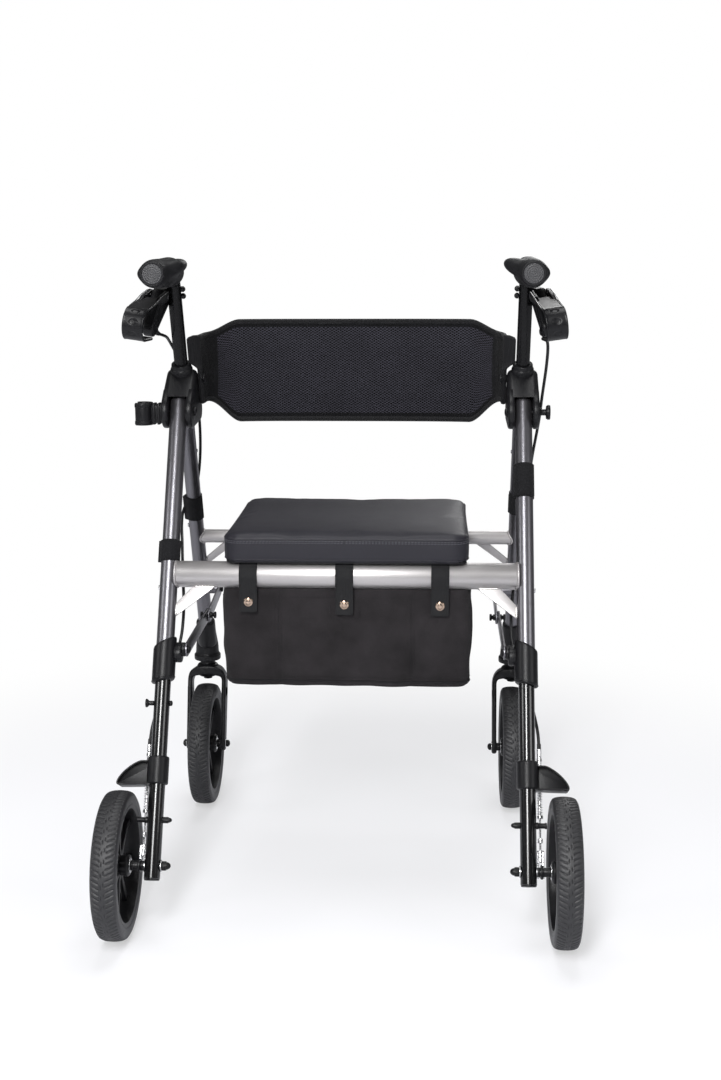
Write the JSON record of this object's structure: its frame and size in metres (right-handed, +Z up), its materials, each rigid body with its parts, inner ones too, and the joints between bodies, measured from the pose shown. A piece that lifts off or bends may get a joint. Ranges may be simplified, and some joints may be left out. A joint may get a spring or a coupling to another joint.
{
  "type": "four-wheel walker",
  "caption": "Folding four-wheel walker (rollator) with height-adjustable handles, loop brakes, a padded seat, a bowed backrest, swivel front wheels and an under-seat pouch.",
  "frame": {"origin": "on the floor, under the middle of the walker's bounding box", "axes": "+X to the right of the person who pushes the walker, +Y forward, +Z up"},
  "size_m": [0.6494, 0.704, 0.9037],
  "materials": {
    "grey_paint": "satin metallic paint",
    "silver_paint": "satin silver paint",
    "steel": "plated",
    "black_gloss": "gloss",
    "black_metal": "satin",
    "black_plastic": "fine grained",
    "black_rubber": "matt",
    "tyre": "matt, fine tread",
    "vinyl": "grained vinyl",
    "cloth": "woven"
  },
  "bodies": {
    "front_frame": {"front_crossbar": "grey_paint", "cane_clip": "black_plastic", "backrest": "cloth", "pouch": "cloth", "front_leg_left": "grey_paint", "top_bracket_left": "black_plastic", "caster_housing_left": "black_plastic", "pivot_bolt_left": "steel", "front_leg_right": "grey_paint", "top_bracket_right": "black_plastic", "caster_housing_right": "black_plastic", "pivot_bolt_right": "black_plastic"},
    "rear_frame": {"rear_crossbar": "silver_paint", "stud_left": "black_plastic", "rear_leg_left": "grey_paint", "lower_tube_left": "black_gloss", "lower_bracket_left": "black_plastic", "brake_housing_left": "black_plastic", "rear_axle_left": "steel", "brake_cable_left": "black_rubber", "rear_leg_right": "grey_paint", "lower_tube_right": "black_gloss", "lower_bracket_right": "black_plastic", "brake_housing_right": "black_plastic", "rear_axle_right": "steel", "brake_cable_right": "black_rubber"},
    "seat": {"seat_board": "black_plastic", "seat_pad": "vinyl"},
    "snap_button": {"snap_button_left": "steel"},
    "rear_link_left": {"rear_link_left": "grey_paint"},
    "front_link_left": {"front_link_left": "grey_paint"},
    "brake_rod_left": {"brake_rod_left": "steel", "brake_spring_left": "steel"},
    "brake_arm_left": {"brake_arm_left": "black_metal"},
    "rear_wheel_left": {"rear_rim_left": "black_plastic", "rear_tyre_left": "tyre"},
    "front_wheel_left": {"front_rim_left": "black_plastic", "front_tyre_left": "tyre"},
    "caster_left": {"caster_fork_left": "black_plastic", "front_axle_left": "steel"},
    "handle_left": {"stem_left": "black_gloss", "grip_left": "black_rubber", "lever_body_left": "black_plastic"},
    "brake_lever_left": {"brake_lever_left": "black_plastic"},
    "rear_link_right": {"rear_link_right": "grey_paint"},
    "front_link_right": {"front_link_right": "grey_paint"},
    "brake_rod_right": {"brake_rod_right": "steel", "brake_spring_right": "steel"},
    "brake_arm_right": {"brake_arm_right": "black_metal"},
    "rear_wheel_right": {"rear_rim_right": "black_plastic", "rear_tyre_right": "tyre"},
    "front_wheel_right": {"front_rim_right": "black_plastic", "front_tyre_right": "tyre"},
    "caster_right": {"caster_fork_right": "black_plastic", "front_axle_right": "steel"},
    "handle_right": {"stem_right": "black_gloss", "grip_right": "black_rubber", "lever_body_right": "black_plastic"},
    "brake_lever_right": {"brake_lever_right": "black_plastic"}
  },
  "joints": [
    {"name": "fold", "type": "hinge", "parent": "front_frame", "child": "rear_frame", "pos_m": [0, 0.05199, 0.68], "axis": [1, 0, 0], "range_deg": [0, 34], "deforming": ["pouch", "brake_cable_left", "brake_cable_right"]},
    {"name": "seat_lift", "type": "hinge", "parent": "front_frame", "child": "seat", "pos_m": [0, 0.19693, 0.465], "axis": [-1, 0, 0], "range_deg": [0, 60]},
    {"name": "snap_button_press", "type": "slide", "parent": "front_frame", "child": "snap_button", "axis": [1, 0, 0], "range_m": [0, 0.003], "stiffness_N_per_m": 400, "springref_m": -0.003},
    {"name": "front_link_pivot_left", "type": "hinge", "parent": "front_frame", "child": "front_link_left", "pos_m": [-0.2195, 0.206, 0.377], "axis": [1, 0, 0], "range_deg": [0, 128.2]},
    {"name": "rear_link_pivot_left", "type": "hinge", "parent": "rear_frame", "child": "rear_link_left", "pos_m": [-0.2228, -0.107, 0.362], "axis": [1, 0, 0], "range_deg": [-44.6, 0]},
    {"name": "handle_height_left", "type": "slide", "parent": "front_frame", "child": "handle_left", "axis": [0, -0.3697, 0.9291], "range_m": [-0.05, 0.1], "deforming": ["brake_cable_left"]},
    {"name": "brake_lever_squeeze_left", "type": "hinge", "parent": "handle_left", "child": "brake_lever_left", "pos_m": [-0.2708, 0.012, 0.85], "axis": [-0.9857, 0.0949, 0.1392], "range_deg": [0, 11], "stiffness_Nm_per_rad": 2, "springref_deg": -5.73},
    {"name": "brake_rod_pull_left", "type": "slide", "parent": "rear_frame", "child": "brake_rod_left", "axis": [0, 0.4642, 0.8857], "range_m": [0, 0.005]},
    {"name": "brake_arm_pivot_left", "type": "hinge", "parent": "rear_frame", "child": "brake_arm_left", "pos_m": [-0.27, -0.252, 0.1], "axis": [1, 0, 0], "range_deg": [0, 13.1]},
    {"name": "rear_wheel_spin_left", "type": "hinge", "parent": "rear_frame", "child": "rear_wheel_left", "pos_m": [-0.3, -0.252, 0.1], "axis": [1, 0, 0], "continuous": true},
    {"name": "caster_swivel_left", "type": "hinge", "parent": "front_frame", "child": "caster_left", "pos_m": [-0.2545, 0.285, 0.233], "axis": [0, 0, 1], "continuous": true},
    {"name": "front_wheel_spin_left", "type": "hinge", "parent": "caster_left", "child": "front_wheel_left", "pos_m": [-0.2545, 0.252, 0.1], "axis": [1, 0, 0], "continuous": true},
    {"name": "front_link_pivot_right", "type": "hinge", "parent": "front_frame", "child": "front_link_right", "pos_m": [0.2195, 0.206, 0.377], "axis": [1, 0, 0], "range_deg": [0, 128.2]},
    {"name": "rear_link_pivot_right", "type": "hinge", "parent": "rear_frame", "child": "rear_link_right", "pos_m": [0.2228, -0.107, 0.362], "axis": [1, 0, 0], "range_deg": [-44.6, 0]},
    {"name": "handle_height_right", "type": "slide", "parent": "front_frame", "child": "handle_right", "axis": [0, -0.3697, 0.9291], "range_m": [-0.05, 0.1], "deforming": ["brake_cable_right"]},
    {"name": "brake_lever_squeeze_right", "type": "hinge", "parent": "handle_right", "child": "brake_lever_right", "pos_m": [0.2708, 0.012, 0.85], "axis": [-0.9857, -0.0949, -0.1392], "range_deg": [0, 11], "stiffness_Nm_per_rad": 2, "springref_deg": -5.73},
    {"name": "brake_rod_pull_right", "type": "slide", "parent": "rear_frame", "child": "brake_rod_right", "axis": [0, 0.4642, 0.8857], "range_m": [0, 0.005]},
    {"name": "brake_arm_pivot_right", "type": "hinge", "parent": "rear_frame", "child": "brake_arm_right", "pos_m": [0.27, -0.252, 0.1], "axis": [1, 0, 0], "range_deg": [0, 13.1]},
    {"name": "rear_wheel_spin_right", "type": "hinge", "parent": "rear_frame", "child": "rear_wheel_right", "pos_m": [0.3, -0.252, 0.1], "axis": [1, 0, 0], "continuous": true},
    {"name": "caster_swivel_right", "type": "hinge", "parent": "front_frame", "child": "caster_right", "pos_m": [0.2545, 0.285, 0.233], "axis": [0, 0, 1], "continuous": true},
    {"name": "front_wheel_spin_right", "type": "hinge", "parent": "caster_right", "child": "front_wheel_right", "pos_m": [0.2545, 0.252, 0.1], "axis": [1, 0, 0], "continuous": true}
  ],
  "couplings": [
    {"joint": "front_link_pivot_left", "follows": "fold", "ratio": 3.7694},
    {"joint": "rear_link_pivot_left", "follows": "fold", "ratio": -1.3092},
    {"joint": "brake_rod_pull_left", "follows": "brake_lever_squeeze_left", "m_per_rad": 0.026},
    {"joint": "brake_arm_pivot_left", "follows": "brake_lever_squeeze_left", "ratio": 1.184},
    {"joint": "front_link_pivot_right", "follows": "fold", "ratio": 3.7694},
    {"joint": "rear_link_pivot_right", "follows": "fold", "ratio": -1.3092},
    {"joint": "brake_rod_pull_right", "follows": "brake_lever_squeeze_right", "m_per_rad": 0.026},
    {"joint": "brake_arm_pivot_right", "follows": "brake_lever_squeeze_right", "ratio": 1.184}
  ]
}
